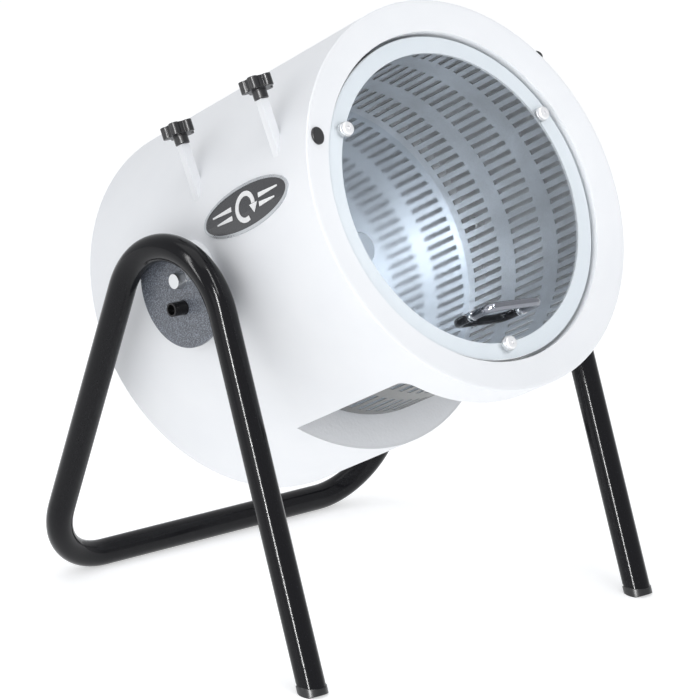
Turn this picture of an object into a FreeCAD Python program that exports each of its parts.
import FreeCAD, Part
import math
import os
import Sketcher

# Tilting rotary drum shredder on a bent-tube stand, in millimetres.
# +X runs along the tilt axis, -Y is the open front, +Z is up; the floor is z = 0
# and the origin lies on the floor straight below the tilt axis.

V = FreeCAD.Vector
doc = FreeCAD.newDocument("drum_shredder")

# ---------------------------------------------------------------- sizes

SIZES = [
    ("tilt", 29.15, "nose-up angle of the drum at rest, degrees"),
    ("pivot_height", 359.7, "tilt axis above the floor"),
    ("axis_drop", 6.3, "drum axis below the tilt axis"),
    ("case_room", 34.0, "drum sheet to the outside of the casing"),
    ("case_wall", 2.5, "casing sheet"),
    ("case_front", 200.7, "front rim ahead of the tilt axis"),
    ("case_back", 167.6, "back rim behind the tilt axis"),
    ("dish_depth", 6.0, "fall of the front ring from rim to bore"),
    ("ring_room", 3.0, "drum sheet to the bore of the front ring"),
    ("ring_wall", 2.0, "front ring sheet"),
    ("drum_radius", 167.0, "outside radius of the drum sheet"),
    ("drum_wall", 1.5, "drum sheet"),
    ("drum_back", -2.3, "front face of the drum's back plate"),
    ("drum_plate", 2.5, "back plate thickness"),
    ("drum_set", 12.0, "drum's flange behind the front rim"),
    ("flange_bore", 149.5, "bore radius of the drum's flange"),
    ("flange_wall", 3.0, "flange thickness"),
    ("slot_length", 43.0, "drum slot along the axis"),
    ("slot_width", 5.0, "drum slot around the drum"),
    ("slot_first", 7.2, "start of the first row of slots"),
    ("slot_row", 66.0, "pitch of the slot rows"),
    ("slot_count", 96.0, "slots around the drum"),
    ("slot_rows", 3.0, "rows of slots"),
    ("hub_radius", 17.0, "drum hub"),
    ("hub_length", 30.0, "drum hub"),
    ("shaft_radius", 10.0, "drum shaft"),
    ("lid_inset", 0.5, "clear lid inside the drum's radius"),
    ("lid_wall", 4.0, "clear lid thickness"),
    ("lid_turn", -3.3, "how far the lid stands from upright, degrees"),
    ("lid_screw_circle", 152.0, "radius of the lid screws"),
    ("pull_circle", 119.5, "radius of the lid pull"),
    ("pull_span", 66.0, "centres of the pull's feet"),
    ("pull_height", 31.0, "pull above the lid"),
    ("pull_bar", 4.6, "radius of the pull's bar"),
    ("outlet_half", 37.3, "half angle of the outlet, degrees"),
    ("outlet_back", -12.8, "back edge of the outlet"),
    ("outlet_front", 158.7, "front edge of the outlet"),
    ("outlet_corner", 12.0, "corner radius of the outlet"),
    ("bulkhead_wall", 2.5, "bulkhead sheet"),
    ("cover_wall", 2.0, "rear cover sheet"),
    ("stand_room", 16.0, "casing to the inner side of the stand tubes"),
    ("tube_radius", 14.0, "stand tube"),
    ("tube_wall", 2.0, "stand tube"),
    ("leg_front", 72.987, "front legs ahead of the tilt axis, level with it"),
    ("leg_rear", 65.516, "rear legs behind the tilt axis, a tube radius above it"),
    ("front_rake", 67.47, "front leg from the floor, degrees"),
    ("rear_rake", 69.67, "rear leg from the floor, degrees"),
    ("top_bend", 82.0, "top bend radius at the tube's centre"),
    ("floor_bend", 78.0, "rear corner radius at the tube's centre"),
    ("foot_plug", 9.0, "plastic plug below the front tubes"),
    ("plate_radius", 62.5, "pivot plate"),
    ("plate_wall", 4.0, "pivot plate"),
    ("plate_drop", 4.9, "middle of the pivot plate below the tilt axis"),
    ("bolt_radius", 6.0, "pivot bolt"),
    ("bolt_flats", 16.0, "across the flats of the pivot bolt's head"),
    ("bolt_head", 9.6, "head height of the pivot bolt"),
    ("index_circle", 27.0, "index holes around the tilt axis"),
    ("index_angle", 10.6, "plunger ahead of straight down, degrees"),
    ("index_step", 20.0, "index holes, degrees apart"),
    ("index_radius", 37.0, "index plate"),
    ("index_hole", 3.2, "index holes, radius"),
    ("index_reach", 8.0, "outer face of the index plate from the casing"),
    ("plunger_nose", 3.0, "plunger nose radius"),
    ("plunger_body", 7.0, "plunger sleeve radius"),
    ("plunger_reach", 16.0, "sleeve standing out of the pivot plate"),
    ("plunger_travel", 6.0, "plunger travel into an index hole"),
    ("post_inset", 20.5, "clamp posts in from the side of the casing"),
    ("post_rear", 21.7, "rear clamp post"),
    ("post_front", 153.0, "front clamp post"),
    ("post_width", 10.0, "clamp post across"),
    ("post_depth", 8.0, "clamp post along the casing"),
    ("post_top", 135.0, "top of the clamp posts above the drum axis"),
    ("stud_radius", 2.6, "clamp stud"),
    ("stud_low", 52.0, "lower end of the clamp studs above the drum axis"),
    ("knob_radius", 17.0, "star knob"),
    ("knob_height", 21.0, "star knob"),
    ("knob_hub", 7.2, "star knob hub"),
    ("knob_lobes", 5.0, "star knob lobes"),
    ("badge_length", 136.0, "badge along the casing"),
    ("badge_width", 47.0, "badge around the casing"),
    ("badge_middle", 101.3, "middle of the badge ahead of the tilt axis"),
    ("badge_angle", 166.9, "middle of the badge, degrees"),
    ("gear_radius", 42.0, "gearbox"),
    ("gear_length", 52.0, "gearbox"),
    ("motor_radius", 46.0, "motor"),
    ("motor_length", 70.0, "motor"),
    ("running", 0.06, "clearance of a shaft in its bore"),
    ("gap", 0.5, "clearance between pieces that pass each other"),
]

sheet = doc.addObject("Spreadsheet::Sheet", "Sizes")
for row, (alias, value, note) in enumerate(SIZES, start=1):
    sheet.set("A%d" % row, alias)
    sheet.set("B%d" % row, repr(value))
    sheet.setAlias("B%d" % row, alias)
    sheet.set("C%d" % row, note)
doc.recompute()


class Size:
    """A number and the sheet formula that gives it."""

    def __init__(self, v, x):
        self.v = float(v)
        self.x = x

    def __add__(self, o):
        o = size(o)
        return Size(self.v + o.v, "(%s + %s)" % (self.x, o.x))

    def __sub__(self, o):
        o = size(o)
        return Size(self.v - o.v, "(%s - %s)" % (self.x, o.x))

    def __mul__(self, o):
        o = size(o)
        return Size(self.v * o.v, "(%s * %s)" % (self.x, o.x))

    def __truediv__(self, o):
        o = size(o)
        return Size(self.v / o.v, "(%s / %s)" % (self.x, o.x))

    def __neg__(self):
        return Size(-self.v, "(0 - %s)" % self.x)

    __radd__ = __add__

    def __rsub__(self, o):
        return size(o) - self


def size(o):
    return o if isinstance(o, Size) else Size(o, repr(float(o)))


def sine(a):
    return Size(math.sin(math.radians(a.v)), "sin(%s * 1deg)" % a.x)


def cosine(a):
    return Size(math.cos(math.radians(a.v)), "cos(%s * 1deg)" % a.x)


def named(alias):
    return Size(sheet.get(alias), "Sizes." + alias)


(tilt, pivot_height, axis_drop, case_room, case_wall, case_front, case_back,
 dish_depth, ring_room, ring_wall, drum_radius, drum_wall, drum_back, drum_plate,
 drum_set, flange_bore, flange_wall, slot_length, slot_width, slot_first,
 slot_row, slot_count, slot_rows, hub_radius, hub_length, shaft_radius,
 lid_inset, lid_wall, lid_turn, lid_screw_circle, pull_circle, pull_span,
 pull_height, pull_bar, outlet_half, outlet_back, outlet_front, outlet_corner,
 bulkhead_wall, cover_wall, stand_room, tube_radius, tube_wall, leg_front,
 leg_rear, front_rake, rear_rake, top_bend, floor_bend, foot_plug, plate_radius,
 plate_wall, plate_drop, bolt_radius, bolt_flats, bolt_head, index_circle,
 index_angle, index_step, index_radius, index_hole, index_reach, plunger_nose,
 plunger_body, plunger_reach, plunger_travel, post_inset, post_rear, post_front,
 post_width, post_depth, post_top, stud_radius, stud_low, knob_radius,
 knob_height, knob_hub, knob_lobes, badge_length, badge_width, badge_middle,
 badge_angle, gear_radius, gear_length, motor_radius, motor_length, running,
 gap) = [named(alias) for alias, value, note in SIZES]

case_radius = drum_radius + case_room
ring_bore = drum_radius + ring_room
drum_front = case_front - drum_set
lid_radius = drum_radius - lid_inset
half_width = case_radius + stand_room + tube_radius
index_face = case_radius + index_reach
post_x = case_radius - post_inset
front_foot = leg_front + pivot_height * cosine(front_rake) / sine(front_rake)
rear_bar = leg_rear + (pivot_height - tube_radius) * cosine(rear_rake) / sine(rear_rake)

NODES = {}


def keep(name, obj):
    """Names a finished sub-part."""
    obj.Label = name
    NODES[name] = obj
    return obj


# ---------------------------------------------------------------- frames

def in_drum(obj):
    """Puts an object drawn along the drum axis into the tilted casing.

    Its own z runs forward along the drum axis, its own x is +X and its own
    zero is the foot of the tilt axis on the drum axis.
    """
    obj.setExpression("Placement.Base.y", (-(axis_drop * sine(tilt))).x)
    obj.setExpression("Placement.Base.z", (pivot_height - axis_drop * cosine(tilt)).x)
    turn = 90 - tilt
    obj.Placement.Rotation = FreeCAD.Rotation(V(1, 0, 0), turn.v)
    obj.setExpression("Placement.Rotation.Angle", turn.x)
    return obj


def drum_frame():
    y = -axis_drop.v * math.sin(math.radians(tilt.v))
    z = pivot_height.v - axis_drop.v * math.cos(math.radians(tilt.v))
    return FreeCAD.Placement(V(0, y, z), FreeCAD.Rotation(V(1, 0, 0), 90 - tilt.v))


# ---------------------------------------------------------------- sketches

def new_body(name):
    return doc.addObject("PartDesign::Body", name)


def origin_plane(body, role):
    for feature in body.Origin.OriginFeatures:
        if feature.Role == role:
            return feature
    raise RuntimeError("no plane " + role)


def new_sketch(body, name, role="XY_Plane", lift=None):
    sk = body.newObject("Sketcher::SketchObject", name)
    sk.AttachmentSupport = (origin_plane(body, role), [""])
    sk.MapMode = "FlatFace"
    if lift is not None:
        lift = size(lift)
        sk.AttachmentOffset = FreeCAD.Placement(V(0, 0, lift.v), FreeCAD.Rotation())
        sk.setExpression("AttachmentOffset.Base.z", lift.x)
    return sk


def bind(sk, constraint, value):
    index = sk.addConstraint(constraint)
    sk.setExpression("Constraints[%d]" % index, value.x)


def circle(sk, radius, x=0, y=0):
    radius, x, y = size(radius), size(x), size(y)
    i = sk.addGeometry(Part.Circle(V(x.v, y.v, 0), V(0, 0, 1), radius.v), False)
    bind(sk, Sketcher.Constraint("Radius", i, radius.v), radius)
    if x.v or y.v:
        bind(sk, Sketcher.Constraint("DistanceX", -1, 1, i, 3, x.v), x)
        bind(sk, Sketcher.Constraint("DistanceY", -1, 1, i, 3, y.v), y)
    else:
        sk.addConstraint(Sketcher.Constraint("Coincident", i, 3, -1, 1))
    return i


def outline(sk, points):
    """A closed outline with every corner tied to its formula."""
    points = [(size(x), size(y)) for x, y in points]
    first = sk.GeometryCount
    count = len(points)
    for k in range(count):
        (ax, ay), (bx, by) = points[k], points[(k + 1) % count]
        sk.addGeometry(Part.LineSegment(V(ax.v, ay.v, 0), V(bx.v, by.v, 0)), False)
    for k in range(count):
        after = first + (k + 1) % count
        sk.addConstraint(Sketcher.Constraint("Coincident", first + k, 2, after, 1))
    for k, (x, y) in enumerate(points):
        bind(sk, Sketcher.Constraint("DistanceX", -1, 1, first + k, 1, x.v), x)
        bind(sk, Sketcher.Constraint("DistanceY", -1, 1, first + k, 1, y.v), y)


def pad(body, sk, length, name, both=False):
    length = size(length)
    feature = body.newObject("PartDesign::Pad", name)
    feature.Profile = sk
    feature.Length = length.v
    feature.setExpression("Length", length.x)
    feature.Midplane = both
    return feature


def volume_after(body):
    doc.recompute()
    return body.Shape.Volume


def pocket(body, sk, name, length=None):
    """Cuts along the sketch's normal and makes sure that it cut."""
    before = volume_after(body)
    feature = body.newObject("PartDesign::Pocket", name)
    feature.Profile = sk
    feature.Midplane = True
    if length is None:
        feature.Type = 1
    else:
        length = size(length)
        feature.Length = length.v
        feature.setExpression("Length", length.x)
    body.Tip = feature
    if volume_after(body) >= before - 1e-6:
        raise RuntimeError(name + " cuts nothing")
    return feature


def revolved(name, points, role="XZ_Plane"):
    """A body turned about its own z axis from an outline of (radius, z)."""
    body = new_body(name)
    sk = new_sketch(body, name + "_profile", role)
    outline(sk, points)
    feature = body.newObject("PartDesign::Revolution", name + "_turn")
    feature.Profile = sk
    feature.ReferenceAxis = (sk, ["V_Axis"])
    feature.Angle = 360
    return body


def spaced(body, feature, count, name, span=360):
    """Repeats a feature around the body's own z axis."""
    count = size(count)
    pattern = body.newObject("PartDesign::PolarPattern", name)
    pattern.Originals = [feature]
    pattern.Axis = (feature.Profile[0], ["N_Axis"])
    pattern.Angle = span
    pattern.Occurrences = int(round(count.v))
    if count.x.startswith("Sizes."):
        pattern.setExpression("Occurrences", count.x)
    body.Tip = pattern
    return pattern


def disc(name, radius, thickness, low, bore=None):
    """A round plate from z = low, with a bore if there is one."""
    body = new_body(name)
    sk = new_sketch(body, name + "_face", lift=low)
    circle(sk, radius)
    if bore is not None:
        circle(sk, bore)
    pad(body, sk, thickness, name + "_pad")
    return body


# ---------------------------------------------------------------- plain solids

def cylinder(name, radius, height, x=0, y=0, z=0, axis=(0, 0, 1), turn=0):
    radius, height = size(radius), size(height)
    x, y, z = size(x), size(y), size(z)
    obj = doc.addObject("Part::Cylinder", name)
    obj.Radius = radius.v
    obj.Height = height.v
    obj.setExpression("Radius", radius.x)
    obj.setExpression("Height", height.x)
    obj.Placement = FreeCAD.Placement(V(x.v, y.v, z.v), FreeCAD.Rotation(V(0, 0, 1), V(*axis)))
    for letter, place in (("x", x), ("y", y), ("z", z)):
        obj.setExpression("Placement.Base." + letter, place.x)
    return obj


def block(name, dx, dy, dz, x, y, z):
    obj = doc.addObject("Part::Box", name)
    for key, value in (("Length", dx), ("Width", dy), ("Height", dz)):
        value = size(value)
        setattr(obj, key, value.v)
        obj.setExpression(key, value.x)
    for letter, place in (("x", size(x)), ("y", size(y)), ("z", size(z))):
        obj.setExpression("Placement.Base." + letter, place.x)
    return obj


def cut(name, base, *tools):
    tool = tools[0] if len(tools) == 1 else fuse(name + "_tools", *tools)
    obj = doc.addObject("Part::Cut", name)
    obj.Base = base
    obj.Tool = tool
    return obj


def common(name, base, tool):
    obj = doc.addObject("Part::Common", name)
    obj.Base = base
    obj.Tool = tool
    return obj


def fuse(name, *pieces):
    obj = doc.addObject("Part::MultiFuse", name)
    obj.Shapes = list(pieces)
    return obj


def shaped(name, shape, place=None):
    """A sub-part whose shape comes from Part's own functions."""
    obj = doc.addObject("Part::Feature", name)
    obj.Shape = Part.makeCompound(shape.Solids)
    obj.Placement = place or FreeCAD.Placement()
    return keep(name, obj)


def moved(shape, place):
    """A copy of a shape, carried into place as a plain shape."""
    return shape.transformGeometry(place.toMatrix())


# ---------------------------------------------------------------- stand

def leg_path(side):
    """Centre line of one side of the stand: front foot, top bend, rear leg."""
    x = side * half_width.v
    af = math.radians(front_rake.v)
    ar = math.radians(rear_rake.v)
    rear_z = tube_radius.v
    yf, yr = -front_foot.v, rear_bar.v
    # the two straight legs would meet here
    rise = (yr - yf + rear_z / math.tan(ar)) / (1 / math.tan(af) + 1 / math.tan(ar))
    peak = V(x, yf + rise / math.tan(af), rise)
    down_f = V(0, -math.cos(af), -math.sin(af))
    down_r = V(0, math.cos(ar), -math.sin(ar))
    half = (math.pi - af - ar) / 2
    tangent = top_bend.v / math.tan(half)
    middle = down_f + down_r
    middle.normalize()
    centre = peak + middle * (top_bend.v / math.sin(half))
    start = V(x, yf + foot_plug.v / math.tan(af), foot_plug.v)
    a = peak + down_f * tangent
    b = peak + down_r * tangent
    top = centre - middle * top_bend.v
    return start, a, top, b, V(x, yr, rear_z), centre, down_r


def sweep(path, radius, wall=None):
    """A round bar, or a tube, along a smooth path of edges."""
    wire = Part.Wire(path)
    start = wire.OrderedEdges[0]
    point = start.valueAt(start.FirstParameter)
    heading = start.tangentAt(start.FirstParameter)

    def run(r):
        ring = Part.Wire([Part.makeCircle(r, point, heading)])
        return wire.makePipeShell([ring], True, False)

    solid = run(radius)
    if wall:
        solid = solid.cut(run(radius - wall))
    return solid


for side, word in ((-1, "left"), (1, "right")):
    start, a, top, b, corner, centre, down_r = leg_path(side)
    # the rear leg turns into the floor bar through one round corner
    reach = floor_bend.v
    before = corner - down_r * reach
    after = corner + V(-side * reach, 0, 0)
    inward = V(-side, 0, 0)
    arc_centre = before + inward * reach
    arc_mid = arc_centre + (corner - arc_centre).normalize() * reach
    path = [
        Part.LineSegment(start, a).toShape(),
        Part.Arc(a, top, b).toShape(),
        Part.LineSegment(b, before).toShape(),
        Part.Arc(before, arc_mid, after).toShape(),
    ]
    shaped("stand_side_" + word, sweep(path, tube_radius.v, tube_wall.v))

bar_half = half_width - floor_bend
floor_bar = cylinder("floor_bar_out", tube_radius, bar_half * 2, x=-bar_half, y=rear_bar, z=tube_radius,
                     axis=(1, 0, 0))
floor_bar_in = cylinder("floor_bar_in", tube_radius - tube_wall, bar_half * 2, x=-bar_half, y=rear_bar,
                        z=tube_radius, axis=(1, 0, 0))
keep("stand_floor_bar", cut("stand_floor_bar", floor_bar, floor_bar_in))


def foot(side):
    start, a, top, b, corner, centre, down_r = leg_path(side)
    up = (a - start).normalize()
    cap = Part.makeCylinder(tube_radius.v + 0.8, foot_plug.v * 1.6, start - up * foot_plug.v * 1.4, up)
    over = Part.makeBox(200, 200, 60, V(start.x - 100, start.y - 100, foot_plug.v))
    under = Part.makeBox(200, 200, 60, V(start.x - 100, start.y - 100, -60))
    cap = cap.cut(over).cut(under)
    inner = tube_radius.v - tube_wall.v - running.v
    stem = Part.makeCylinder(inner, foot_plug.v + 24, start - up * 6, up)
    return cap.fuse(stem.cut(under)).removeSplitter()


# the front tubes are cut off level with the tops of their plugs
for side, word in ((-1, "left"), (1, "right")):
    start, a, top, b, corner, centre, down_r = leg_path(side)
    up = (a - start).normalize()
    spare = 2 * tube_radius.v / math.tan(math.radians(front_rake.v))
    more = Part.makeCylinder(tube_radius.v, spare, start - up * spare, up)
    more = more.cut(Part.makeCylinder(tube_radius.v - tube_wall.v, spare, start - up * spare, up))
    level = Part.makeBox(200, 200, 60, V(start.x - 100, start.y - 100, foot_plug.v - 60))
    obj = NODES["stand_side_" + word]
    obj.Shape = Part.makeCompound(obj.Shape.fuse(more.cut(level)).cut(level).removeSplitter().Solids)

feet = foot(-1), foot(1)
shaped("foot_plugs", Part.makeCompound([f for pair in feet for f in pair.Solids]))

# pivot plates: discs welded on the inner side of the top bends
start, a, top, b, corner, bend_centre, down_r = leg_path(1)
plate_x = half_width - tube_radius


def mirrored(side, x_low, thickness):
    """Where a plate of this thickness starts along X on either side."""
    return x_low if side > 0 else -(x_low + thickness)


for side, word in ((-1, "left"), (1, "right")):
    low = mirrored(side, plate_x - plate_wall, plate_wall)
    face = cylinder("pivot_disc_" + word, plate_radius, plate_wall, x=low,
                    z=pivot_height - plate_drop, axis=(1, 0, 0))
    rim = Part.makeCylinder(top_bend.v, plate_wall.v, V(low.v, bend_centre.y, bend_centre.z), V(1, 0, 0))
    bend = doc.addObject("Part::Feature", "pivot_bend_" + word)
    bend.Shape = rim
    plate = common("pivot_blank_" + word, face, bend)
    reach = index_circle * sine(index_angle)
    fall = index_circle * cosine(index_angle)
    bolt_hole = cylinder("pivot_bolt_hole_" + word, bolt_radius + running, plate_wall + 2,
                         x=low - 1, z=pivot_height, axis=(1, 0, 0))
    pin_hole = cylinder("pivot_pin_hole_" + word, plunger_body, plate_wall + 2, x=low - 1,
                        y=-reach, z=pivot_height - fall, axis=(1, 0, 0))
    keep("pivot_plate_" + word, cut("pivot_plate_" + word, plate, bolt_hole, pin_hole))

# plunger sleeves, pressed through the plates, with the pins sliding inside
sleeve_in = 1.5
for side, word in ((-1, "left"), (1, "right")):
    inner_x = plate_x - plate_wall - sleeve_in
    length = plunger_reach + plate_wall + sleeve_in
    low = mirrored(side, inner_x, length)
    y = -(index_circle * sine(index_angle))
    z = pivot_height - index_circle * cosine(index_angle)
    outer = cylinder("sleeve_out_" + word, plunger_body, length, x=low, y=y, z=z, axis=(1, 0, 0))
    nose_bore = cylinder("sleeve_bore_" + word, plunger_nose + running, length + 2, x=low - 1, y=y, z=z,
                         axis=(1, 0, 0))
    spring_room = length - 5
    room_low = mirrored(side, inner_x + 5, spring_room + 1)
    wide = cylinder("sleeve_room_" + word, plunger_body - 1.8, spring_room + 1, x=room_low, y=y, z=z,
                    axis=(1, 0, 0))
    keep("plunger_sleeve_" + word, cut("plunger_sleeve_" + word, outer, nose_bore, wide))
    tip_x = index_face + gap
    pin_length = plate_x + plunger_travel + 3 - tip_x
    pin_low = mirrored(side, tip_x, pin_length)
    pin = cylinder("plunger_rod_" + word, plunger_nose, pin_length, x=pin_low, y=y, z=z, axis=(1, 0, 0))
    collar_low = mirrored(side, plate_x + plunger_travel, size(3))
    collar = cylinder("plunger_collar_" + word, plunger_body - 1.8 - running * 4, 3,
                      x=collar_low, y=y, z=z, axis=(1, 0, 0))
    keep("plunger_pin_" + word, fuse("plunger_pin_" + word, pin, collar))

# pivot bolts with their spacers and nuts
spacer_room = plate_x - plate_wall - index_face
nut_inner = case_radius - case_wall - 12
bolt_end = nut_inner - 3


def hexagon(flats, height, x, side):
    """A six-sided prism along X with its flats up and down."""
    radius = flats / math.sqrt(3)
    points = []
    for k in range(7):
        turn = math.radians(60 * k)
        points.append(V(x, radius * math.cos(turn), radius * math.sin(turn)))
    face = Part.Face(Part.makePolygon(points))
    return face.extrude(V(side * height, 0, 0))


bolts, nuts, spacers = [], [], []
for side in (-1, 1):
    outer = plate_x.v
    head = hexagon(bolt_flats.v, bolt_head.v, side * outer, side)
    crown = Part.makeCone(bolt_flats.v * 0.62, bolt_flats.v * 0.46, bolt_head.v,
                          V(side * outer, 0, 0), V(side, 0, 0))
    head = head.common(crown)
    shank = Part.makeCylinder(bolt_radius.v, outer - bolt_end.v, V(side * outer, 0, 0), V(-side, 0, 0))
    bolts.append(head.fuse(shank).removeSplitter())
    bore = Part.makeCylinder(bolt_radius.v + running.v, 40, V(side * (nut_inner.v - 5), 0, 0), V(side, 0, 0))
    nut = hexagon(bolt_flats.v, 8, side * nut_inner.v, side)
    nuts.append(nut.cut(bore))
    length = spacer_room.v - gap.v
    low = plate_x.v - plate_wall.v
    ring = Part.makeCylinder(bolt_radius.v + 5, length, V(side * low, 0, 0), V(-side, 0, 0))
    spacers.append(ring.cut(Part.makeCylinder(bolt_radius.v + running.v, length + 2,
                                              V(side * (low + 1), 0, 0), V(-side, 0, 0))))
at_pivot = FreeCAD.Placement(V(0, 0, pivot_height.v), FreeCAD.Rotation())
shaped("pivot_bolts", Part.makeCompound(bolts), at_pivot)
shaped("pivot_nuts", Part.makeCompound(nuts), at_pivot)
shaped("pivot_spacers", Part.makeCompound(spacers), at_pivot)

# ---------------------------------------------------------------- casing

inside = case_radius - case_wall
lip = size(2)
shell = revolved("case_tube", [(inside, -case_back), (case_radius, -case_back),
                               (case_radius, case_front - lip), (inside, case_front - lip)])
doc.recompute()


def sector(radius_in, radius_out, z_low, z_high, middle, half, corner):
    """A block of a thick tube between two angles, with rounded corners seen from outside."""
    reach = radius_out * math.sin(math.radians(half))
    depth = radius_out + 5
    corner = min(corner, reach / 2, (z_high - z_low) / 2)
    flat = Part.makePolygon([V(-reach, 0, z_low), V(reach, 0, z_low), V(reach, 0, z_high),
                             V(-reach, 0, z_high), V(-reach, 0, z_low)])
    solid = Part.Face(flat).extrude(V(0, depth, 0))
    upright = [e for e in solid.Edges
               if abs(e.Vertexes[0].Y - e.Vertexes[-1].Y) > depth / 2 and e.Vertexes[0].Z > z_high - 1e-3]
    solid = solid.makeFillet(corner, upright)
    solid.rotate(V(0, 0, 0), V(0, 0, 1), middle - 90)
    return solid


outlet = doc.addObject("Part::Feature", "outlet_block")
outlet.Shape = sector(drum_radius.v, case_radius.v, outlet_back.v, outlet_front.v, -90,
                      outlet_half.v, outlet_corner.v)
pivot_holes = [cylinder("case_pivot_hole_%d" % k, bolt_radius + running, 40, x=x, y=axis_drop, axis=(1, 0, 0))
               for k, x in ((0, case_radius - 20), (1, -case_radius - 20))]
stud_holes = [cylinder("case_stud_hole_%d" % k, stud_radius + gap, 120, x=-post_x, y=stud_low - 10, z=z,
                       axis=(0, 1, 0)) for k, z in ((0, post_rear), (1, post_front))]
lock_angle = 38.0
lock_z = case_front - 18
lock_hole = Part.makeCylinder(3.0, 20, V(0, 0, 0), V(1, 0, 0))
lock_hole.translate(V(case_radius.v - 12, 0, 0))
lock_hole.rotate(V(0, 0, 0), V(0, 0, 1), lock_angle)
lock_hole.translate(V(0, 0, lock_z.v))
lock_cut = doc.addObject("Part::Feature", "lock_hole")
lock_cut.Shape = lock_hole
shell_rim = revolved("case_rear_flange", [(inside - 20, -case_back + 5), (inside, -case_back + 5),
                                          (inside, -case_back + 7.5), (inside - 20, -case_back + 7.5)])
whole_case = fuse("case_with_flange", shell, shell_rim)
case_shell = cut("casing_shell", whole_case, outlet, lock_cut, *(pivot_holes + stud_holes))
keep("casing_shell", in_drum(case_shell))

# front ring: dished sheet with a round outer lip and a short bore sleeve
ring_in = case_front - dish_depth
skirt_out = inside - 0.05
front_ring = revolved("front_ring", [
    (ring_bore, ring_in - 14), (ring_bore + ring_wall, ring_in - 14),
    (ring_bore + ring_wall, ring_in - ring_wall), (skirt_out - ring_wall, case_front - ring_wall - 1),
    (skirt_out - ring_wall, case_front - 34), (skirt_out, case_front - 34),
    (skirt_out, case_front - lip), (case_radius, case_front - lip),
    (case_radius, case_front - 0.8), (case_radius - 1.2, case_front),
    (case_radius - 4, case_front), (ring_bore, ring_in)])
ring_holes = doc.addObject("Part::Feature", "ring_hole_tool")
plug_angle, plug_circle = 154.5, (case_radius + ring_bore) / 2 + 1.5
slope = math.degrees(math.atan2(dish_depth.v, case_radius.v - 4 - ring_bore.v))


def on_dish(shape):
    """Carries a piece drawn on z = 0 to the plug's seat on the dished ring."""
    shape = shape.copy()
    shape.rotate(V(0, 0, 0), V(0, 1, 0), -slope)
    frac = (plug_circle.v - ring_bore.v) / (case_radius.v - 4 - ring_bore.v)
    shape.translate(V(plug_circle.v, 0, ring_in.v + dish_depth.v * frac))
    shape.rotate(V(0, 0, 0), V(0, 0, 1), plug_angle)
    return shape


plug_bore = on_dish(Part.makeCylinder(5.0, 20, V(0, 0, -10), V(0, 0, 1)))
ring_holes.Shape = plug_bore.fuse(lock_hole)
doc.recompute()
keep("front_ring", in_drum(cut("front_ring_cut", front_ring, ring_holes)))

plug = Part.makeCylinder(8.6, 2.2, V(0, 0, 0.2), V(0, 0, 1))
plug = plug.makeFillet(1.2, [e for e in plug.Edges if e.BoundBox.ZMin > 2.2])
plug = plug.fuse(Part.makeCylinder(4.95, 6, V(0, 0, -5.9), V(0, 0, 1))).removeSplitter()
shaped("ring_plug", moved(on_dish(plug), drum_frame()))

lock = Part.makeCylinder(6.0, 14, V(case_radius.v + 1.0, 0, 0), V(1, 0, 0))
lock = lock.makeFillet(1.2, [e for e in lock.Edges if e.BoundBox.XMin > case_radius.v + 14])
lock = lock.fuse(Part.makeCylinder(2.9, 10, V(case_radius.v - 7, 0, 0), V(1, 0, 0))).removeSplitter()
lock.rotate(V(0, 0, 0), V(0, 0, 1), lock_angle)
lock.translate(V(0, 0, lock_z.v))
shaped("ring_lock_screw", moved(lock, drum_frame()))

# bulkhead between the drum and the motor room
bulk_front = outlet_back
bulk_back = outlet_back - bulkhead_wall
bulk = disc("bulkhead_sheet", inside - running, bulkhead_wall, bulk_back, shaft_radius + 8)
motor_bolt_circle = gear_radius - 8
bolt_sk = new_sketch(bulk, "bulkhead_bolts", lift=bulk_back)
circle(bolt_sk, 2.7, motor_bolt_circle)
one_hole = pocket(bulk, bolt_sk, "bulkhead_bolt_hole", bulkhead_wall * 4)
spaced(bulk, one_hole, 4, "bulkhead_bolt_holes")
keep("bulkhead", in_drum(bulk))

bearing = revolved("bearing_housing", [
    (shaft_radius + running, bulk_back), (shaft_radius + 7.8, bulk_back), (shaft_radius + 7.8, bulk_front),
    (shaft_radius + 17, bulk_front), (shaft_radius + 17, bulk_front + 2.5),
    (shaft_radius + 9, bulk_front + 2.5), (shaft_radius + 9, bulk_front + 5),
    (shaft_radius + running, bulk_front + 5)])
keep("bearing_housing", in_drum(bearing))

# gearbox, motor and its fan behind the bulkhead
gear_back = bulk_back - gear_length
gearbox = disc("gearbox_case", gear_radius, gear_length - 0.02, gear_back, shaft_radius + running)
keep("gearbox", in_drum(gearbox))

motor_back = gear_back - motor_length
ribs = 18
motor = revolved("motor_case", [
    (0, motor_back), (motor_radius - 9, motor_back), (motor_radius - 3, motor_back + 5),
    (motor_radius - 3, gear_back - 4), (motor_radius - 6, gear_back), (0, gear_back)])
rib_sk = new_sketch(motor, "motor_rib", lift=motor_back + 8)
outline(rib_sk, [(motor_radius - 5, -1.2), (motor_radius, -1.2), (motor_radius, 1.2), (motor_radius - 5, 1.2)])
rib = pad(motor, rib_sk, motor_length - 16, "motor_rib_pad")
doc.recompute()
spaced(motor, rib, ribs, "motor_ribs")
doc.recompute()
fan_room = 3.0
stub = cylinder("motor_stub", 4, 15, z=motor_back - 15)
keep("motor", in_drum(fuse("motor_with_stub", motor, stub)))

fan = new_body("fan_hub")
fan_sk = new_sketch(fan, "fan_ring", lift=motor_back - fan_room - 9)
circle(fan_sk, 11)
circle(fan_sk, 4 + running)
pad(fan, fan_sk, 9, "fan_pad")
blade_sk = new_sketch(fan, "fan_blade", lift=motor_back - fan_room - 9)
outline(blade_sk, [(10, -1), (motor_radius - 8, -1), (motor_radius - 8, 1), (10, 1)])
blade = pad(fan, blade_sk, 9, "fan_blade_pad")
doc.recompute()
spaced(fan, blade, 7, "fan_blades")
keep("motor_fan", in_drum(fan))

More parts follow.
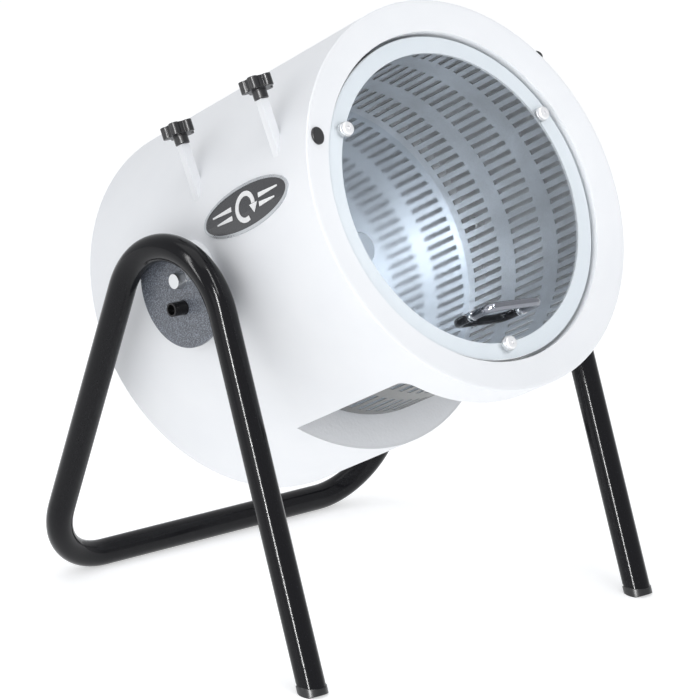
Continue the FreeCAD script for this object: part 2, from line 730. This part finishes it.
# gearbox bolts through the bulkhead
gear_bolts = []
for k in range(4):
    head = Part.makeCylinder(4.3, 3.2, V(0, 0, bulk_front.v), V(0, 0, 1))
    shank = Part.makeCylinder(2.6, bulkhead_wall.v, V(0, 0, bulk_back.v), V(0, 0, 1))
    screw = head.fuse(shank).removeSplitter()
    screw.translate(V(motor_bolt_circle.v, 0, 0))
    screw.rotate(V(0, 0, 0), V(0, 0, 1), 90 * k)
    gear_bolts.append(screw)
shaped("gearbox_bolts", Part.makeCompound(gear_bolts), drum_frame())

# rear cover, recessed in the back rim, with vents, switch and power inlet
cover_back = -case_back + 3
cover = disc("cover_sheet", inside - running, cover_wall, cover_back)
vent_sk = new_sketch(cover, "cover_vent", lift=cover_back)
outline(vent_sk, [(52, -2.5), (88, -2.5), (88, 2.5), (52, 2.5)])
vent = pocket(cover, vent_sk, "cover_vent_cut", cover_wall * 4)
spaced(cover, vent, 24, "cover_vents")
doc.recompute()
screw_circle = inside - 10
screw_sk = new_sketch(cover, "cover_screw", lift=cover_back)
circle(screw_sk, 2.2, screw_circle * math.cos(math.radians(30)), screw_circle * 0.5)
screw_hole = pocket(cover, screw_sk, "cover_screw_hole", cover_wall * 4)
spaced(cover, screw_hole, 6, "cover_screw_holes")
doc.recompute()
box_sk = new_sketch(cover, "cover_boxes", lift=cover_back)
switch_y, inlet_y = 118.0, 118.0
outline(box_sk, [(22, switch_y - 11), (44, switch_y - 11), (44, switch_y + 11), (22, switch_y + 11)])
outline(box_sk, [(-46, inlet_y - 10), (-18, inlet_y - 10), (-18, inlet_y + 10), (-46, inlet_y + 10)])
pocket(cover, box_sk, "cover_box_cut", cover_wall * 4)
keep("rear_cover", in_drum(cover))

cover_screws = []
for k in range(6):
    turn = math.radians(60 * k + 30)
    x, y = screw_circle.v * math.cos(turn), screw_circle.v * math.sin(turn)
    head = Part.makeCylinder(4.0, 2.4, V(x, y, cover_back.v - 2.4), V(0, 0, 1))
    slot = Part.makeBox(6, 0.9, 1.2, V(x - 3, y - 0.45, cover_back.v - 2.5))
    shank = Part.makeCylinder(2.1, cover_wall.v, V(x, y, cover_back.v), V(0, 0, 1))
    cover_screws.append(head.fuse(shank).cut(slot).removeSplitter())
shaped("cover_screws", Part.makeCompound(cover_screws), drum_frame())


def framed_box(x_low, x_high, y_mid, half_y, depth):
    """A snap-in housing with a bezel outside the cover and a closed well inside."""
    inset = 0.3
    well = Part.makeBox(x_high - x_low - 2 * inset, 2 * (half_y - inset), depth + cover_wall.v,
                        V(x_low + inset, y_mid - half_y + inset, cover_back.v))
    bezel = Part.makeBox(x_high - x_low + 5, 2 * half_y + 5, 2,
                         V(x_low - 2.5, y_mid - half_y - 2.5, cover_back.v - 2))
    bezel = bezel.makeFillet(2, [e for e in bezel.Edges if e.BoundBox.ZLength > 1.5])
    room = Part.makeBox(x_high - x_low - 5, 2 * half_y - 5, depth + 2,
                        V(x_low + 2.5, y_mid - half_y + 2.5, cover_back.v - 2.1))
    return well.fuse(bezel).cut(room).removeSplitter()


switch_axis = cover_back.v + 3
switch_frame = framed_box(22, 44, switch_y, 11, 16)
trunnion_bore = Part.makeCylinder(1.5 + running.v, 20.4, V(22.8, switch_y, switch_axis), V(1, 0, 0))
switch_frame = switch_frame.cut(trunnion_bore)
shaped("switch_frame", switch_frame, drum_frame())
inlet = framed_box(-46, -18, inlet_y, 10, 18)
for dx, dy in ((-7, 0), (0, 3), (7, 0)):
    blade_pin = Part.makeBox(4, 1.6, 14, V(-32 + dx - 2, inlet_y + dy - 0.8, cover_back.v + 5.5))
    inlet = inlet.fuse(blade_pin)
shaped("power_inlet", inlet.removeSplitter(), drum_frame())

rocker_half = 11 - 2.5 - 1.2
rocker_wide = 22 - 5 - 0.8
rock = Part.makePolygon([V(0, -rocker_half, -3.2), V(0, 0, -0.6), V(0, rocker_half, -2.0),
                         V(0, rocker_half - 1.6, 5.0), V(0, -rocker_half + 1.6, 5.0),
                         V(0, -rocker_half, -3.2)])
rocker = Part.Face(rock).extrude(V(rocker_wide, 0, 0))
rocker.translate(V(33 - rocker_wide / 2, switch_y, cover_back.v))
trunnion = Part.makeCylinder(1.5, 19.6, V(33 - 9.8, switch_y, switch_axis), V(1, 0, 0))
rocker = rocker.fuse(trunnion).removeSplitter()
shaped("switch_rocker", rocker, drum_frame())

# index plates: thick discs seated on the casing around the tilt axis
for side, word in ((-1, "left"), (1, "right")):
    plate = new_body("index_disc_" + word)
    low = mirrored(side, index_face - 20, size(20))
    sk = new_sketch(plate, "index_face_" + word, "YZ_Plane", lift=low)
    circle(sk, index_radius, axis_drop, 0)
    circle(sk, bolt_radius + running, axis_drop, 0)
    pad(plate, sk, 20, "index_pad_" + word)
    doc.recompute()
    core = cylinder("index_core_" + word, case_radius, index_radius * 2 + 20, z=-(index_radius + 10))
    seats = []
    steps = int(round(360 / index_step.v))
    for k in range(steps):
        # a hole this far round from straight down, seen in the tilted casing
        lean = math.radians(tilt.v)
        fall = math.radians(index_angle.v + k * index_step.v)
        gy, gz = -math.sin(fall), -math.cos(fall)
        along = gz * math.cos(lean) + gy * math.sin(lean)
        ahead = -gy * math.cos(lean) + gz * math.sin(lean)
        seat = Part.makeCylinder(index_hole.v, 7.0, V(side * (index_face.v + 0.5), axis_drop.v +
                                 index_circle.v * along, index_circle.v * ahead), V(-side, 0, 0))
        seats.append(seat)
    holes = doc.addObject("Part::Feature", "index_seats_" + word)
    holes.Shape = Part.makeCompound(seats)
    keep("index_plate_" + word, in_drum(cut("index_plate_" + word, plate, core, holes)))

# clamp posts with studs and star knobs on the casing's left shoulder
post_low = 40.0
posts = []
for word, z in (("rear", post_rear), ("front", post_front)):
    post = block("post_%s" % word, post_width, post_top - post_low, post_depth,
                 -post_x - post_width / 2, post_low, z - post_depth / 2)
    bore = cylinder("post_bore_%s" % word, stud_radius + gap, post_top, x=-post_x, y=post_low - 5, z=z,
                    axis=(0, 1, 0))
    weep = cylinder("post_weep_%s" % word, 1.3, 30, x=-post_x + 2.6, y=86, z=z, axis=(0, 0, 1))
    core = cylinder("post_core_%s" % word, case_radius, 60, z=z - 30)
    posts.append(cut("post_part_%s" % word, post, bore, weep, core))
keep("clamp_posts", in_drum(fuse("clamp_posts", *posts)))

for word, z in (("rear", post_rear), ("front", post_front)):
    knob = new_body("knob_body_" + word)
    hub_high = knob_height - 12
    sk = new_sketch(knob, "knob_hub_" + word)
    circle(sk, knob_hub)
    pad(knob, sk, hub_high + 0.5, "knob_hub_pad_" + word)
    top_sk = new_sketch(knob, "knob_top_" + word, lift=hub_high)
    circle(top_sk, knob_radius - 5)
    pad(knob, top_sk, 12, "knob_top_pad_" + word)
    lobe_sk = new_sketch(knob, "knob_lobe_" + word, lift=hub_high)
    circle(lobe_sk, 5.2, knob_radius - 5.2)
    lobe = pad(knob, lobe_sk, 12, "knob_lobe_pad_" + word)
    doc.recompute()
    spaced(knob, lobe, knob_lobes, "knob_lobes_" + word)
    doc.recompute()
    bore_sk = new_sketch(knob, "knob_bore_" + word)
    circle(bore_sk, stud_radius + running)
    pocket(knob, bore_sk, "knob_bore_cut_" + word, knob_height * 1.2)
    frame = drum_frame()
    up = FreeCAD.Placement(V(-post_x.v, post_top.v + 0.5, z.v), FreeCAD.Rotation(V(0, 0, 1), V(0, 1, 0)))
    knob.Placement = frame.multiply(up)
    keep("star_knob_" + word, knob)
    stud_top = post_top + knob_height * 0.6 - 2
    stud = cylinder("stud_rod_" + word, stud_radius, stud_top - stud_low, x=-post_x, y=stud_low, z=z,
                    axis=(0, 1, 0))
    pad_foot = cylinder("stud_foot_" + word, stud_radius + 2.5, 5, x=-post_x, y=stud_low, z=z, axis=(0, 1, 0))
    keep("clamp_stud_" + word, in_drum(fuse("clamp_stud_" + word, stud, pad_foot)))

# badge: a plain oval plate bent to the casing, with a raised rim
half_long, half_wide = badge_length.v / 2, badge_width.v / 2


def oval(grow, r_low, r_high):
    """An oval piece of a tube wall, at angle zero and middle z = 0."""
    edge = Part.Ellipse(V(0, 0, 0), half_long + grow, half_wide + grow).toShape()
    face = Part.Face(Part.Wire([edge]))
    face.rotate(V(0, 0, 0), V(0, 1, 0), 90)
    solid = face.extrude(V(r_high + 40, 0, 0))
    shell_z = half_long + 20
    tube = Part.makeCylinder(r_high, 2 * shell_z, V(0, 0, -shell_z))
    tube = tube.cut(Part.makeCylinder(r_low, 2 * shell_z, V(0, 0, -shell_z)))
    return solid.common(tube)


def on_case(shape):
    shape.rotate(V(0, 0, 0), V(0, 0, 1), badge_angle.v)
    shape.translate(V(0, 0, badge_middle.v))
    return shape


plate = on_case(oval(-3.0, case_radius.v + 0.02, case_radius.v + 1.0))
rim = on_case(oval(0, case_radius.v + 0.02, case_radius.v + 1.5).cut(oval(-3.0, case_radius.v - 1,
                                                                        case_radius.v + 3)))
shaped("badge_plate", plate, drum_frame())
shaped("badge_rim", rim, drum_frame())

# ---------------------------------------------------------------- drum

drum_in = drum_radius - drum_wall
sheet_low = drum_back - drum_plate
sheet_high = drum_front - flange_wall


def slotted_sheet():
    wall = Part.makeCylinder(drum_radius.v, sheet_high.v - sheet_low.v, V(0, 0, sheet_low.v))
    wall = wall.cut(Part.makeCylinder(drum_in.v, 400, V(0, 0, -150)))
    cuts = []
    count = int(round(slot_count.v))
    for row in range(int(round(slot_rows.v))):
        low = slot_first.v + row * slot_row.v
        for k in range(count):
            tool = Part.makeBox(drum_wall.v * 4, slot_width.v, slot_length.v,
                                V(drum_in.v - drum_wall.v, -slot_width.v / 2, low))
            tool.rotate(V(0, 0, 0), V(0, 0, 1), 360.0 * k / count)
            cuts.append(tool)
    return wall.cut(Part.makeCompound(cuts))


shaped("drum_sheet", slotted_sheet(), drum_frame())

back = disc("drum_back_disc", drum_in - 0.02, drum_plate, sheet_low, shaft_radius + 0.01)
keep("drum_back_plate", in_drum(back))

hub = revolved("drum_hub_turned", [
    (shaft_radius + 0.01, drum_back), (hub_radius + 8, drum_back), (hub_radius + 8, drum_back + 3),
    (hub_radius, drum_back + 4), (hub_radius, drum_back + hub_length - 1.5),
    (hub_radius - 1.5, drum_back + hub_length), (0, drum_back + hub_length),
    (0, drum_back + hub_length - 6), (shaft_radius + 0.01, drum_back + hub_length - 6)])
hub_screw_z = drum_back + hub_length - 7.5
hub_screw_hole = Part.makeCylinder(2.5, 14, V(shaft_radius.v - 1, 0, hub_screw_z.v), V(1, 0, 0))
hub_screw_hole.rotate(V(0, 0, 0), V(0, 0, 1), 15)
hub_tool = doc.addObject("Part::Feature", "hub_screw_hole")
hub_tool.Shape = hub_screw_hole
keep("drum_hub", in_drum(cut("drum_hub", hub, hub_tool)))

screw = Part.makeCylinder(2.45, 8.5, V(shaft_radius.v + 0.1, 0, hub_screw_z.v), V(1, 0, 0))
head = hexagon(7.0, 3.0, hub_radius.v + 0.05, 1)
head.translate(V(0, 0, hub_screw_z.v))
screw = screw.fuse(head).removeSplitter()
screw.rotate(V(0, 0, 0), V(0, 0, 1), 15)
shaped("hub_set_screw", screw, drum_frame())

shaft_low = gear_back + 12
shaft = disc("drum_shaft_rod", shaft_radius, drum_back + hub_length - 6.2 - shaft_low, shaft_low)
keep("drum_shaft", in_drum(shaft))

flange = disc("drum_flange_disc", lid_radius, flange_wall, drum_front - flange_wall, flange_bore)
keep("drum_flange", in_drum(flange))

lid_low = drum_front
lid_top = drum_front + lid_wall
lid_turned = FreeCAD.Rotation(V(0, 0, 1), lid_turn.v)
lid_frame = drum_frame().multiply(FreeCAD.Placement(V(0, 0, 0), lid_turned))


def at_screws(make):
    """Three copies at the lid's screws, the first at the bottom."""
    out = []
    for k in range(3):
        piece = make()
        piece.translate(V(0, -lid_screw_circle.v, 0))
        piece.rotate(V(0, 0, 0), V(0, 0, 1), 120 * k)
        out.append(piece)
    return out


lid_plate = Part.makeCylinder(lid_radius.v, lid_wall.v, V(0, 0, lid_low.v))
lid_plate = lid_plate.makeFillet(0.8, [e for e in lid_plate.Edges if e.BoundBox.ZMin > lid_top.v - 1e-3])
for tool in at_screws(lambda: Part.makeCylinder(3.1, 20, V(0, 0, lid_low.v - 5))):
    lid_plate = lid_plate.cut(tool)
for s in (-1, 1):
    lid_plate = lid_plate.cut(Part.makeCylinder(2.2, 20, V(s * pull_span.v / 2, -pull_circle.v,
                                                           lid_low.v - 5)))
shaped("clear_lid", lid_plate, lid_frame)


def spacer_ring():
    ring = Part.makeCylinder(7.6, 2.6, V(0, 0, lid_top.v))
    return ring.cut(Part.makeCylinder(3.1, 10, V(0, 0, lid_top.v - 2)))


def button_screw():
    base = lid_top.v + 2.6
    dome = Part.makeCylinder(7.0, 4.6, V(0, 0, base))
    dome = dome.makeFillet(2.6, [e for e in dome.Edges if e.BoundBox.ZMin > base + 4])
    points = [V(2.3 * math.cos(math.radians(60 * k)), 2.3 * math.sin(math.radians(60 * k)), base + 2.2)
              for k in range(7)]
    socket = Part.Face(Part.makePolygon(points)).extrude(V(0, 0, 4))
    shank = Part.makeCylinder(2.95, 2.6 + lid_wall.v, V(0, 0, lid_low.v))
    return dome.cut(socket).fuse(shank).removeSplitter()


shaped("lid_spacers", Part.makeCompound(at_screws(spacer_ring)), lid_frame)
shaped("lid_screws", Part.makeCompound(at_screws(button_screw)), lid_frame)

# pulls: a round bar on two feet each side of the lid, joined by studs through it
bar_r = pull_bar.v
bend_r = 11.0
half = pull_span.v / 2
collar_high = 1.2


def pull_shape():
    """A pull standing on z = 0, with its feet on the x axis."""
    top_z = pull_height.v - bar_r
    low_z = top_z - bend_r
    k45 = bend_r * (1 - math.sqrt(0.5))
    p = [V(-half, 0, collar_high), V(-half, 0, low_z), V(-half + bend_r, 0, top_z),
         V(half - bend_r, 0, top_z), V(half, 0, low_z), V(half, 0, collar_high)]
    path = [Part.LineSegment(p[0], p[1]).toShape(),
            Part.Arc(p[1], V(-half + k45, 0, top_z - k45), p[2]).toShape(),
            Part.LineSegment(p[2], p[3]).toShape(),
            Part.Arc(p[3], V(half - k45, 0, top_z - k45), p[4]).toShape(),
            Part.LineSegment(p[4], p[5]).toShape()]
    return sweep(path, bar_r)


def placed_pull(inner):
    bar = pull_shape()
    if inner:
        bar.rotate(V(0, 0, 0), V(1, 0, 0), 180)
    bar.translate(V(0, -pull_circle.v, lid_low.v if inner else lid_top.v))
    return bar


shaped("lid_pull", placed_pull(False), lid_frame)
shaped("inner_pull", placed_pull(True), lid_frame)
collars, studs = [], []
for s in (-1, 1):
    x, y = s * half, -pull_circle.v
    for low in (lid_top.v, lid_low.v - collar_high):
        ring = Part.makeCylinder(bar_r + 0.9, collar_high, V(x, y, low))
        collars.append(ring.cut(Part.makeCylinder(2.2, 4, V(x, y, low - 1))))
    studs.append(Part.makeCylinder(2.1, lid_wall.v + 2 * collar_high, V(x, y, lid_low.v - collar_high)))
shaped("pull_collars", Part.makeCompound(collars), lid_frame)
shaped("pull_studs", Part.makeCompound(studs), lid_frame)

# ---------------------------------------------------------------- checks and files

doc.recompute()
for obj in doc.Objects:
    if "Invalid" in obj.State or "Error" in obj.State:
        raise RuntimeError("%s failed: %s" % (obj.Name, obj.State))
for name, obj in NODES.items():
    if obj.Shape.isNull() or not obj.Shape.isValid() or not obj.Shape.Solids:
        raise RuntimeError("bad shape in " + name)

os.makedirs("parts", exist_ok=True)
for name, obj in NODES.items():
    obj.Shape.exportStep("parts/%s.step" % name)
print("%d sub-parts written" % len(NODES))
